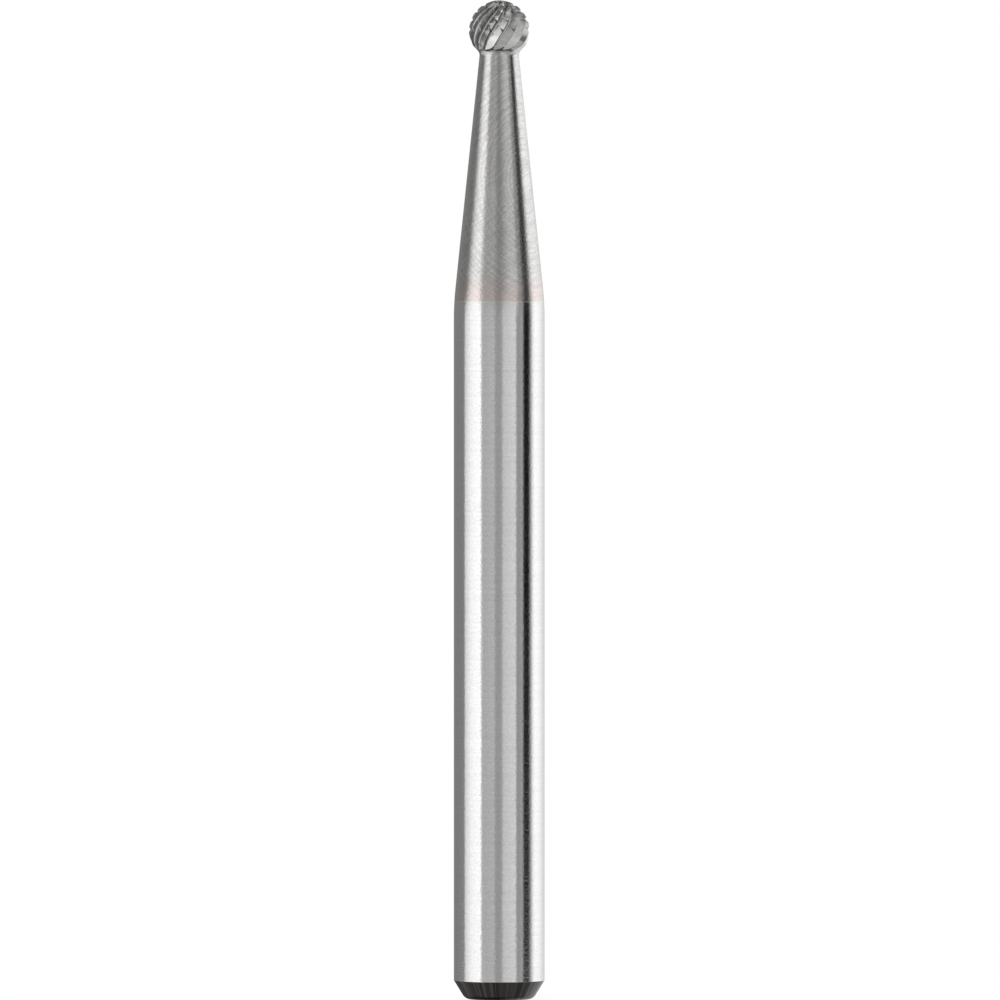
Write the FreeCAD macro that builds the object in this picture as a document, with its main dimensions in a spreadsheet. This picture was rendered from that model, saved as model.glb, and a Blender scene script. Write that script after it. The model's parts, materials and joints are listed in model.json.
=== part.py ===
import FreeCAD, Part
import math
import os
import Sketcher
from FreeCAD import Vector

# Miniature ball burr with a carbide end brazed to a steel shank. Millimetres, +Z up: the tool
# stands on the flat end of its shank at the origin, with the cutting ball at the top.
# Azimuths are counted from the front, which is -Y, towards +X. Polar angles are counted
# about the centre of the ball, from its nose.

# Driving sizes, in millimetres and degrees. A turn is degrees of azimuth for each degree of
# polar angle, and a share is part of the pitch from one tooth or groove to the next.
SIZES = {
    "overall_length": 33.0,
    "shank_diameter": 3.0,
    "shank_length": 23.05,
    "joint_thickness": 0.04,
    "chamfer_length": 0.625,
    "chamfer_angle": 31.5,
    "end_round_radius": 0.3,
    "shoulder_radius": 10.0,
    "neck_half_angle": 5.92,
    "neck_diameter": 1.28,
    "neck_root_radius": 0.25,
    "ball_diameter": 2.0,
    "head_length": 1.5,
    "back_angle": 45.0,
    "flute_count": 15,
    "flute_depth": 0.14,
    "back_flute_depth": 0.08,
    "flute_turn": 0.62,
    "flute_phase": 6.7,
    "rake_share": 0.145,
    "groove_count": 15,
    "groove_depth": 0.11,
    "groove_share": 0.645,
    "groove_turn": 0.64,
    "groove_phase": 5.5,
    "groove_start_angle": 20.0,
    "groove_end_angle": 104.0,
}

doc = FreeCAD.newDocument("ball_burr")
sheet = doc.addObject("Spreadsheet::Sheet", "sizes")
for row, (alias, value) in enumerate(SIZES.items(), start=1):
    sheet.set(f"A{row}", alias)
    sheet.set(f"B{row}", str(value))
    sheet.setAlias(f"B{row}", alias)
doc.recompute()


def size(alias):
    """A driving size as the sheet holds it."""
    return float(sheet.get(alias))


def slope(alias):
    """Tangent of an angle that the sheet holds in degrees."""
    return math.tan(math.radians(size(alias)))


# Blank: the whole tool as it is ground between centres, before it gets its teeth.

START, END, CENTRE = range(1, 4)
ROOT = (-1, START)

shank_radius = size("shank_diameter") / 2
ball_radius = size("ball_diameter") / 2
neck_radius = size("neck_diameter") / 2
tip_height = size("overall_length")
ball_height = tip_height - ball_radius
corner_height = tip_height - size("head_length")
corner_radius = math.sqrt(ball_radius**2 - (ball_height - corner_height) ** 2)
root_height = corner_height - (corner_radius - neck_radius) / slope("back_angle")
foot_height = root_height - (shank_radius - neck_radius) / slope("neck_half_angle")
end_radius = shank_radius - size("chamfer_length") * slope("chamfer_angle")

centre_point = Vector(0, 0, 0)
end_corner = Vector(end_radius, 0, 0)
chamfer_corner = Vector(shank_radius, size("chamfer_length"), 0)
foot_corner = Vector(shank_radius, foot_height, 0)
root_corner = Vector(neck_radius, root_height, 0)
back_corner = Vector(corner_radius, corner_height, 0)
tip_point = Vector(0, tip_height, 0)

blank = doc.addObject("PartDesign::Body", "ground_blank")
outline = blank.newObject("Sketcher::SketchObject", "blank_outline")
side_plane = next(item for item in blank.Origin.OriginFeatures if item.Role == "XZ_Plane")
outline.AttachmentSupport = [(side_plane, "")]
outline.MapMode = "FlatFace"


def bind(constraint, name, expression):
    """Add a named constraint to the outline and tie it to the sheet."""
    index = outline.addConstraint(constraint)
    outline.renameConstraint(index, name)
    outline.setExpression(f"Constraints.{name}", expression)


def rounded_corner(before, before_line, corner, after, after_line, radius_alias):
    """Arc tangent to two lines of the outline, which keeps a point where they would meet."""
    radius = size(radius_alias)
    going_in = (corner - before).normalize()
    going_out = (after - corner).normalize()
    turn = math.atan2(going_in.cross(going_out).z, going_in.dot(going_out))
    setback = radius * math.tan(abs(turn) / 2)
    touch_in = corner - going_in * setback
    touch_out = corner + going_out * setback
    side = math.copysign(1, turn)
    middle = touch_in + Vector(-going_in.y, going_in.x, 0) * (radius * side)
    from_angle, to_angle = (math.atan2(point.y - middle.y, point.x - middle.x)
                            for point in ((touch_in, touch_out) if side > 0 else (touch_out, touch_in)))
    circle = Part.Circle(middle, Vector(0, 0, 1), radius)
    arc = outline.addGeometry(Part.ArcOfCircle(circle, from_angle, to_angle), False)
    point = outline.addGeometry(Part.Point(corner), True)
    first, last = (START, END) if side > 0 else (END, START)
    outline.addConstraint(Sketcher.Constraint("Tangent", before_line, END, arc, first))
    outline.addConstraint(Sketcher.Constraint("Tangent", arc, last, after_line, START))
    outline.addConstraint(Sketcher.Constraint("PointOnObject", point, START, before_line))
    outline.addConstraint(Sketcher.Constraint("PointOnObject", point, START, after_line))
    bind(Sketcher.Constraint("Radius", arc, radius), radius_alias, f"sizes.{radius_alias}")
    return point


corners = [centre_point, end_corner, chamfer_corner, foot_corner, root_corner, back_corner]
for start, end in zip(corners, corners[1:]):
    outline.addGeometry(Part.LineSegment(start, end), False)
end_face, chamfer, shank_side, taper, back_cone = range(5)
ball_circle = Part.Circle(Vector(0, ball_height, 0), Vector(0, 0, 1), ball_radius)
corner_turn = math.atan2(corner_height - ball_height, corner_radius)
ball_arc = outline.addGeometry(Part.ArcOfCircle(ball_circle, corner_turn, math.pi / 2), False)
axis_line = outline.addGeometry(Part.LineSegment(tip_point, centre_point), False)

outline.addConstraint(Sketcher.Constraint("Coincident", end_face, START, *ROOT))
outline.addConstraint(Sketcher.Constraint("Coincident", chamfer, END, shank_side, START))
outline.addConstraint(Sketcher.Constraint("Coincident", back_cone, END, ball_arc, START))
outline.addConstraint(Sketcher.Constraint("Coincident", ball_arc, END, axis_line, START))
outline.addConstraint(Sketcher.Constraint("Coincident", axis_line, END, end_face, START))
outline.addConstraint(Sketcher.Constraint("Horizontal", end_face))
outline.addConstraint(Sketcher.Constraint("Vertical", shank_side))
outline.addConstraint(Sketcher.Constraint("Vertical", axis_line))
outline.addConstraint(Sketcher.Constraint("PointOnObject", ball_arc, CENTRE, axis_line))
end_point = rounded_corner(centre_point, end_face, end_corner, chamfer_corner, chamfer,
                           "end_round_radius")
foot_point = rounded_corner(chamfer_corner, shank_side, foot_corner, root_corner, taper,
                            "shoulder_radius")
root_point = rounded_corner(foot_corner, taper, root_corner, back_corner, back_cone,
                            "neck_root_radius")

bind(Sketcher.Constraint("DistanceX", *ROOT, chamfer, END, shank_radius),
     "shank_radius", "sizes.shank_diameter / 2")
bind(Sketcher.Constraint("DistanceY", *ROOT, chamfer, END, chamfer_corner.y),
     "chamfer_length", "sizes.chamfer_length")
bind(Sketcher.Constraint("DistanceX", end_point, START, chamfer, END, shank_radius - end_radius),
     "chamfer_depth", "sizes.chamfer_length * tan(sizes.chamfer_angle * 1 deg)")
bind(Sketcher.Constraint("DistanceX", *ROOT, root_point, START, neck_radius),
     "neck_radius", "sizes.neck_diameter / 2")
bind(Sketcher.Constraint("DistanceY", foot_point, START, root_point, START, root_height - foot_height),
     "taper_length",
     "(sizes.shank_diameter - sizes.neck_diameter) / 2 / tan(sizes.neck_half_angle * 1 deg)")
bind(Sketcher.Constraint("DistanceY", root_point, START, back_cone, END, corner_height - root_height),
     "back_cone_length",
     "(sqrt(sizes.head_length * (sizes.ball_diameter - sizes.head_length)) - sizes.neck_diameter / 2)"
     " / tan(sizes.back_angle * 1 deg)")
bind(Sketcher.Constraint("Radius", ball_arc, ball_radius), "ball_radius", "sizes.ball_diameter / 2")
bind(Sketcher.Constraint("DistanceY", *ROOT, ball_arc, END, tip_height),
     "overall_length", "sizes.overall_length")
bind(Sketcher.Constraint("DistanceY", ball_arc, START, ball_arc, END, size("head_length")),
     "head_length", "sizes.head_length")

turned = blank.newObject("PartDesign::Revolution", "turned_blank")
turned.Profile = outline
turned.ReferenceAxis = (outline, ["V_Axis"])
turned.Angle = 360
blank.Tip = turned
doc.recompute()


# Teeth: two star-shaped forms close in on the ball from outside. What lies inside both of
# them stays on the blank, and the rest is ground away.

NOSE_ANGLE = 6.0
NOSE_SPAN = 8.0
NOSE_CLEARANCE = 0.01
FULL_DEPTH_ANGLE = 36.0
SHORT_TOOTH_ANGLE = 34.0
SHORT_TOOTH_SPAN = 14.0
SHORT_TOOTH_STEP = 3
GROOVE_CLEARANCE = 0.04
GROOVE_RUN_IN = 24.0
GROOVE_RUN_OUT = 12.0
STEEP_WALL_SHARE = 0.18
RING_SHARE = 0.8
RING_CLEARANCE = 0.06

corner_angle = math.degrees(math.acos(1 - size("head_length") / ball_radius))
ring_height = corner_height - RING_SHARE * (corner_height - root_height)
ring_radius = corner_radius - RING_SHARE * (corner_radius - neck_radius) + RING_CLEARANCE
ring_angle = 90 + math.degrees(math.atan2(ball_height - ring_height, ring_radius))
skirt_radius = shank_radius + size("neck_diameter")


def smooth(low, high, value):
    """0 below low, 1 above high, and an even S between them."""
    share = min(1.0, max(0.0, (value - low) / (high - low)))
    return share * share * (3 - 2 * share)


def at_azimuth(radius, azimuth, height):
    """Point at this distance from the axis, with its azimuth in degrees."""
    azimuth = math.radians(azimuth)
    return Vector(radius * math.sin(azimuth), -radius * math.cos(azimuth), height)


def star_form(stations, line_count, line):
    """Closed form with flat facets, from a small ring over the nose down to below the taper.

    line(number, polar) gives the distance from the centre of the ball, and the azimuth, of
    one crest or hollow of the form at that polar angle.
    """
    columns = []
    for number in range(line_count):
        column = []
        for polar in stations:
            reach, azimuth = line(number, polar)
            polar_turn = math.radians(polar)
            column.append(at_azimuth(reach * math.sin(polar_turn), azimuth,
                                     ball_height + reach * math.cos(polar_turn)))
        azimuth = line(number, ring_angle)[1]
        column.append(at_azimuth(ring_radius, azimuth, ring_height))
        column.append(at_azimuth(skirt_radius, azimuth, ring_height))
        column.append(at_azimuth(skirt_radius, azimuth, 0))
        columns.append(column)
    faces = []
    for left, right in zip(columns, columns[1:] + columns[:1]):
        for top_left, top_right, low_right, low_left in zip(left, right, right[1:], left[1:]):
            faces.append(Part.Face(Part.makePolygon([top_left, top_right, low_right, top_left])))
            faces.append(Part.Face(Part.makePolygon([top_left, low_right, low_left, top_left])))
    for level in (0, -1):
        ring = [column[level] for column in columns]
        faces.append(Part.Face(Part.makePolygon(ring + ring[:1])))
    shell = Part.makeShell(faces)
    shell.sewShape()
    solid = Part.makeSolid(shell)
    if solid.Volume < 0:
        solid.reverse()
    return solid


def nose_reach(polar):
    """Distance from the centre of the ball that clears the nose over its first few degrees."""
    return ball_radius + NOSE_CLEARANCE * (1 - smooth(NOSE_ANGLE, NOSE_ANGLE + NOSE_SPAN, polar))


def flute_line(number, polar):
    """Right-hand saw teeth: a cutting edge, and then the foot of its rake face.

    From that foot the back of the next tooth rises to its edge. Every third tooth is short:
    near the nose its edge sinks into the flutes beside it.
    """
    tooth, at_foot = divmod(number, 2)
    pitch = 360 / size("flute_count")
    azimuth = size("flute_phase") + size("flute_turn") * (90 - polar) + tooth * pitch
    lost = (size("flute_depth") - size("back_flute_depth")) * smooth(90, corner_angle, polar)
    depth = size("flute_depth") * smooth(NOSE_ANGLE, FULL_DEPTH_ANGLE, polar) - lost
    if at_foot:
        return nose_reach(polar) - depth, azimuth + size("rake_share") * pitch
    if tooth % SHORT_TOOTH_STEP:
        return nose_reach(polar), azimuth
    sunk = 1 - smooth(SHORT_TOOTH_ANGLE - SHORT_TOOTH_SPAN, SHORT_TOOTH_ANGLE + SHORT_TOOTH_SPAN, polar)
    return nose_reach(polar) - depth * sunk, azimuth


def groove_line(number, polar):
    """Left-hand cross-cut grooves: a near shoulder, the bottom, and a far shoulder."""
    groove, part = divmod(number, 3)
    pitch = 360 / size("groove_count")
    width = size("groove_share") * pitch
    azimuth = size("groove_phase") - size("groove_turn") * (90 - polar) + groove * pitch
    outside = ball_radius + GROOVE_CLEARANCE
    if part == 0:
        return outside, azimuth - STEEP_WALL_SHARE * width
    if part == 2:
        return outside, azimuth + (1 - STEEP_WALL_SHARE) * width
    start = smooth(size("groove_start_angle") - GROOVE_RUN_IN / 2,
                   size("groove_start_angle") + GROOVE_RUN_IN / 2, polar)
    end = 1 - smooth(size("groove_end_angle") - GROOVE_RUN_OUT, size("groove_end_angle"), polar)
    return outside - (size("groove_depth") + GROOVE_CLEARANCE) * min(start, end), azimuth


flute_stations = [NOSE_ANGLE, 14, 24, 36, 50, 64, 78, 92, 106, corner_angle + 1]
groove_stations = [NOSE_ANGLE, 20, 32, 46, 60, 76, 92, 98, 104, 110]

flute_form = doc.addObject("Part::Feature", "flute_form")
flute_form.Shape = star_form(flute_stations, 2 * int(size("flute_count")), flute_line)
groove_form = doc.addObject("Part::Feature", "groove_form")
groove_form.Shape = star_form(groove_stations, 3 * int(size("groove_count")), groove_line)


def slice_of_blank(name, floor_expression, height_expression):
    """The part of the blank between two heights, as a cylinder wider than the blank cuts it."""
    stock = doc.addObject("Part::Cylinder", f"{name}_span")
    stock.setExpression("Radius", "sizes.shank_diameter")
    stock.setExpression("Height", height_expression)
    stock.setExpression("Placement.Base.z", floor_expression)
    piece = doc.addObject("Part::Common", name)
    piece.Base = blank
    piece.Tool = stock
    return piece


# Steel shank, up to the joint.
steel_shank = slice_of_blank("steel_shank", "0", "sizes.shank_length")

# Braze joint: a thin disc of filler, ground flush with what it joins.
braze_joint = slice_of_blank("braze_joint", "sizes.shank_length", "sizes.joint_thickness")

# Carbide head: the taper and the ball, with its flutes and cross-cut grooves.
head_blank = slice_of_blank("head_blank", "sizes.shank_length + sizes.joint_thickness",
                            "sizes.overall_length - sizes.shank_length")
fluted_head = doc.addObject("Part::Common", "fluted_head")
fluted_head.Base = head_blank
fluted_head.Tool = flute_form
carbide_head = doc.addObject("Part::Common", "carbide_head")
carbide_head.Base = fluted_head
carbide_head.Tool = groove_form
doc.recompute()

for item in doc.Objects:
    if "Invalid" in item.State or "Error" in item.State:
        raise RuntimeError(f"{item.Name} failed: {item.State}")

os.makedirs("parts", exist_ok=True)
for piece in (steel_shank, braze_joint, carbide_head):
    if piece.Shape.isNull() or not piece.Shape.isValid():
        raise RuntimeError(f"{piece.Label} has no valid shape")
    piece.Shape.exportStep(f"parts/{piece.Label}.step")
    print(piece.Label, len(piece.Shape.Solids), "solid,", f"{piece.Shape.Volume:.3f} mm3")
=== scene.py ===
"""Looks of a miniature ball burr: a carbide head brazed to a ground steel shank.

Lengths are millimetres and angles are degrees until a mesh is made, which is in metres.
Azimuths are counted from the front, which is -Y, towards +X. Polar angles are counted about
the centre of the ball, from its nose, so that its widest ring lies at 90, the equator.
"""

import json
import logging
import math
from dataclasses import dataclass, field
from enum import Enum
from typing import Any

import bpy
import numpy as np
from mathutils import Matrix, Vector


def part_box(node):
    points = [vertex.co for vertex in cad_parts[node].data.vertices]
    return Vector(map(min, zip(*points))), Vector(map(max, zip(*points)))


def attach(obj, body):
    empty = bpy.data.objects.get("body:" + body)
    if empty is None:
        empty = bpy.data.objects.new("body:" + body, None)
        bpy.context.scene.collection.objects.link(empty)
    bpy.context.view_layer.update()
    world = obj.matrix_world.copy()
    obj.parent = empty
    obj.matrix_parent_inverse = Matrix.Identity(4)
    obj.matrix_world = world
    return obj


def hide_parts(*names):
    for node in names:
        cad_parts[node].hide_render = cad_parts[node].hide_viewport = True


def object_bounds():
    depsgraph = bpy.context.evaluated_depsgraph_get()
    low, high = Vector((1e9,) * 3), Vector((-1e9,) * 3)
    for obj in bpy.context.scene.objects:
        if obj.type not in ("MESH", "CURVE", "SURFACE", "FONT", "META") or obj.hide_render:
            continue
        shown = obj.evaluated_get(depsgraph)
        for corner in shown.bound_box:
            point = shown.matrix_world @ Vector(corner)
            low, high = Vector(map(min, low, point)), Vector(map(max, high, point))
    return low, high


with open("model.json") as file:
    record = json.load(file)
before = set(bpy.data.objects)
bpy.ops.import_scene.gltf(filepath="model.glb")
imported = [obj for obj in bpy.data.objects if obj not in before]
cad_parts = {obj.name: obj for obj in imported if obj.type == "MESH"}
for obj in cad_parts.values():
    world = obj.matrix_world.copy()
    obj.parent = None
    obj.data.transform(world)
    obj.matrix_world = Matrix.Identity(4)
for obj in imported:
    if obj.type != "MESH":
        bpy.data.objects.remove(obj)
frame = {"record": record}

Array = np.ndarray
Colour = tuple[float, float, float]
Triple = tuple[float, float, float]
Range = tuple[float, float]
Polar = tuple[Array | float, Array | float]

MM = 0.001
EQUATOR = 90.0
WHITE = (1.0, 1.0, 1.0, 1.0)
ROOT_BODY = "root"
CAD_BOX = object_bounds()

log = logging.getLogger("burr")


class Slot(Enum):
    """Material slots of the record, one for each material of the tool."""

    CARBIDE = "carbide"
    BRAZE = "braze"
    STEEL = "steel"


def smooth(value: Array | float, start: float, end: float) -> Array:
    """Eased step from 0 at start to 1 at end: 3 t^2 - 2 t^3 with t held between 0 and 1."""
    t = np.clip((value - start) / (end - start), 0.0, 1.0)
    return t * t * (3.0 - 2.0 * t)


def polar_line(angle: Array, first: Polar, second: Polar) -> Array:
    """Distance from the origin to a straight line, seen under an angle.

    The line through reach a at angle A and reach b at angle B lies at
    a b sin(B - A) / (a sin(angle - A) + b sin(B - angle)).

    Args:
        angle: angles in degrees under which the line is wanted.
        first: reach and angle of one point of the line.
        second: reach and angle of another point of the line.

    Returns:
        The reach at each angle.
    """
    reach_a, angle_a = first
    reach_b, angle_b = second
    whole = np.sin(np.radians(angle_b - angle_a))
    from_a = np.sin(np.radians(angle - angle_a))
    from_b = np.sin(np.radians(angle_b - angle))
    return reach_a * reach_b * whole / (reach_a * from_a + reach_b * from_b)


def rounded_valley(left: Array, right: Array, rounding: Array | float) -> Array:
    """The higher of two crossing slopes, with the corner between them filled.

    The mean of both slopes, plus half the root of their squared difference and the squared
    double rounding: far from the corner it is the higher slope, and in it one rounding more.

    Args:
        left: reach of one slope.
        right: reach of the other slope.
        rounding: how far the fill stands above the corner.

    Returns:
        The reach of the filled valley.
    """
    return (left + right + np.sqrt((left - right) ** 2 + 4.0 * rounding**2)) / 2.0


def around_axis(radius: Array, azimuth: Array, height: Array) -> Array:
    """Points round the tool's axis: (r sin a, -r cos a, h).

    Args:
        radius: distances from the axis.
        azimuth: azimuths.
        height: heights.

    Returns:
        The points, with their coordinates on the last axis.
    """
    turn = np.radians(azimuth)
    radius, turn, height = np.broadcast_arrays(radius, turn, height)
    return np.stack([radius * np.sin(turn), -radius * np.cos(turn), height], axis=-1)


@dataclass(frozen=True)
class Shell:
    """A closed skin: rows of points from a top pole to a bottom pole, each row a ring.

    Attributes:
        rings: points in millimetres, rows by columns by 3, from the top down.
        top: height of the pole above the first ring.
        bottom: height of the pole below the last ring.
    """

    rings: Array
    top: float
    bottom: float

    def triangles(self) -> Array:
        """Corner numbers of every triangle, each wound so that it faces outwards.

        Ring point (i, j) has number i columns + j, the top pole comes after the last ring
        and the bottom pole after it. A cell is cut along the line from its upper left to
        its lower right corner.

        Returns:
            Triangles by 3.
        """
        rows, columns = self.rings.shape[:2]
        number = np.arange(rows * columns).reshape(rows, columns)
        beside = np.roll(number, -1, axis=1)
        upper, lower = number[:-1], number[1:]
        upper_beside, lower_beside = beside[:-1], beside[1:]
        left = np.stack([upper, lower, lower_beside], axis=-1).reshape(-1, 3)
        right = np.stack([upper, lower_beside, upper_beside], axis=-1).reshape(-1, 3)
        top = np.full(columns, rows * columns)
        over = np.stack([top, number[0], beside[0]], axis=-1)
        under = np.stack([top + 1, beside[-1], number[-1]], axis=-1)
        return np.concatenate([over, left, right, under])

    def mesh(
        self, name: str, crease: float = 30.0, coarse_and_shaded: Array | None = None
    ) -> bpy.types.Mesh:
        """The skin as a mesh in metres.

        Args:
            name: name of the mesh.
            crease: angle in degrees from which an edge stays sharp.
            coarse_and_shaded: for each cell, rows by columns, how coarsely it is ground and how
                much painted shade it takes, or None.

        Returns:
            The mesh, shaded smooth between its creases.
        """
        poles = [(0.0, 0.0, self.top), (0.0, 0.0, self.bottom)]
        points = np.concatenate([self.rings.reshape(-1, 3), poles]) * MM
        corners = self.triangles()
        mesh = bpy.data.meshes.new(name)
        mesh.vertices.add(len(points))
        mesh.vertices.foreach_set("co", points.astype(np.float32).ravel())
        mesh.loops.add(corners.size)
        mesh.loops.foreach_set("vertex_index", corners.astype(np.int32).ravel())
        mesh.polygons.add(len(corners))
        mesh.polygons.foreach_set("loop_start", np.arange(0, corners.size, 3, dtype=np.int32))
        mesh.update(calc_edges=True)
        # Per-face share of coarser grinding and of painted shade, read by the carbide's material.
        if coarse_and_shaded is not None:
            fan = np.zeros(self.rings.shape[1])
            shares = np.concatenate([fan, coarse_and_shaded.ravel(), coarse_and_shaded.ravel(), fan])
            marks = mesh.attributes.new("coarse_and_shaded", "FLOAT", "FACE")
            marks.data.foreach_set("value", shares.astype(np.float32))
        mesh.validate()
        mesh.shade_smooth()
        mesh.set_sharp_from_angle(angle=math.radians(crease))
        return mesh


def dressed(name: str, mesh: bpy.types.Mesh, material: bpy.types.Material) -> bpy.types.Object:
    """A new object at the origin that wears one material.

    Args:
        name: name of the object.
        mesh: its mesh, in metres, in the row's frame.
        material: its finish.

    Returns:
        The object, linked to the scene.
    """
    piece = bpy.data.objects.new(name, mesh)
    mesh.materials.append(material)
    bpy.context.scene.collection.objects.link(piece)
    return piece


@dataclass(frozen=True)
class Corner:
    """A corner of a turned outline, and how it is rounded.

    Attributes:
        radius: distance from the axis.
        height: height above the end of the shank.
        rounding: radius of the arc that takes the corner off, or 0 for a sharp one.
        steps: straight pieces that stand for the arc.
    """

    radius: float
    height: float
    rounding: float = 0.0
    steps: int = 0

    def points(self, before: "Corner", after: "Corner") -> Array:
        """Points of the outline at this corner.

        The arc touches both sides of the corner. Its points are c + s0 v0 + s1 v1, where v0
        and v1 run from its centre to where it touches, and s0 and s1 are the sines of the
        share of the turn still to go and done, over the sine of the whole turn.

        Args:
            before: the corner before this one.
            after: the corner after this one.

        Returns:
            One point for a sharp corner, or the arc's points, as radius and height.
        """
        here = np.array([self.radius, self.height])
        if not self.rounding:
            return here[None]
        back = np.array([before.radius, before.height]) - here
        on = np.array([after.radius, after.height]) - here
        back, on = back / np.linalg.norm(back), on / np.linalg.norm(on)
        half = math.acos(float(back @ on)) / 2.0
        centre = here + (back + on) * self.rounding / math.sin(2.0 * half)
        touch = self.rounding / math.tan(half)
        first, last = here + back * touch - centre, here + on * touch - centre
        turn = math.pi - 2.0 * half
        done = np.linspace(0.0, turn, self.steps + 1)[:, None]
        return centre + (np.sin(turn - done) * first + np.sin(done) * last) / math.sin(turn)


@dataclass(frozen=True)
class Blank:
    """The whole tool as it is ground between centres, before its teeth are cut.

    Attributes:
        length: from the end of the shank to the nose.
        shank_radius: half the shank's diameter.
        shank_top: upper end of the steel.
        head_foot: lower end of the carbide.
        ball_radius: radius of the ball.
        head_length: from the nose to the ball's back corner.
        back_angle: angle between the axis and the cone behind the ball.
        neck_radius: radius of the neck where that cone would meet it without a rounding.
        neck_half_angle: angle between the axis and the taper.
        neck_rounding: radius of the arc between both cones.
        shoulder_rounding: radius of the arc between the taper and the shank.
        chamfer_length: how far up the shank its chamfer reaches.
        chamfer_angle: angle between the axis and the chamfer.
        end_rounding: radius of the arc between the chamfer and the flat end.
        columns: points round a turned slice.
    """

    length: float
    shank_radius: float
    shank_top: float
    head_foot: float
    ball_radius: float = 1.0
    head_length: float = 1.5
    back_angle: float = 45.0
    neck_radius: float = 0.64
    neck_half_angle: float = 5.92
    neck_rounding: float = 0.25
    shoulder_rounding: float = 10.0
    chamfer_length: float = 0.625
    chamfer_angle: float = 31.5
    end_rounding: float = 0.3
    columns: int = 360

    @classmethod
    def from_frame(cls) -> "Blank":
        """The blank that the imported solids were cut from.

        Returns:
            The blank, with its main sizes read off the solids.
        """
        shank = next(m for m in frame["record"]["mounts"] if m["name"] == "shank")
        return cls(
            length=CAD_BOX[1].z / MM,
            shank_radius=shank["dims"]["r_mm"],
            shank_top=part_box("steel_shank")[1].z / MM,
            head_foot=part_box("carbide_head")[0].z / MM,
        )

    @property
    def ball_height(self) -> float:
        """Height of the centre of the ball."""
        return self.length - self.ball_radius

    @property
    def back_corner(self) -> Corner:
        """Where the ball ends and the cone behind it starts.

        Returns:
            The corner, which is sharp.
        """
        below = self.head_length - self.ball_radius
        radius = math.sqrt(self.ball_radius**2 - below**2)
        return Corner(radius, self.length - self.head_length)

    @property
    def neck_root(self) -> Corner:
        """Where the cone behind the ball meets the taper of the neck.

        Returns:
            The corner, with its rounding.
        """
        corner = self.back_corner
        drop = (corner.radius - self.neck_radius) / math.tan(math.radians(self.back_angle))
        return Corner(self.neck_radius, corner.height - drop, self.neck_rounding, steps=10)

    @property
    def rounding_top(self) -> float:
        """Height at which the neck's rounding leaves the cone behind the ball."""
        return float(self.outline()[-2, 1])

    def outline(self) -> Array:
        """The turned outline from the middle of the shank's end to the ball's back corner.

        Returns:
            Points by 2, each a radius and a height.
        """
        root = self.neck_root
        run = (self.shank_radius - self.neck_radius) / math.tan(math.radians(self.neck_half_angle))
        end = self.shank_radius - self.chamfer_length * math.tan(math.radians(self.chamfer_angle))
        corners = [
            Corner(0.0, 0.0),
            Corner(end, 0.0, self.end_rounding, steps=12),
            Corner(self.shank_radius, self.chamfer_length),
            Corner(self.shank_radius, root.height - run, self.shoulder_rounding, steps=16),
            root,
            self.back_corner,
        ]
        around = zip(corners, [corners[0], *corners[:-1]], [*corners[1:], corners[-1]])
        return np.concatenate([here.points(before, after) for here, before, after in around])

    def span(self, low: float, high: float) -> Array:
        """Radius and height of the outline between two heights, from the top down.

        Args:
            low: lower end, or 0 for the whole end of the shank.
            high: upper end.

        Returns:
            Points by 2, with one point right on each end.
        """
        radius, height = self.outline().T
        kept = (height < high) & ((height > low) | (low <= 0.0))
        ends = [high] if low <= 0.0 else [high, low]
        radius = np.concatenate([radius[kept], np.interp(ends, height, radius)])
        height = np.concatenate([height[kept], ends])
        order = np.lexsort((-radius, -height))
        return np.stack([radius[order], height[order]], axis=-1)

    def turned(self, low: float, high: float) -> Shell:
        """A slice of the blank as a closed skin.

        Each point of the outline is carried round the axis: (r sin a, -r cos a, h).

        Args:
            low: height of the slice's lower end.
            high: height of its upper end.

        Returns:
            The skin.
        """
        outline = self.span(low, high)
        outline = outline[outline[:, 0] > 0.0]
        azimuth = np.arange(self.columns) * 360.0 / self.columns
        rings = around_axis(outline[:, :1], azimuth[None], outline[:, 1:])
        return Shell(rings, high, low)


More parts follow.
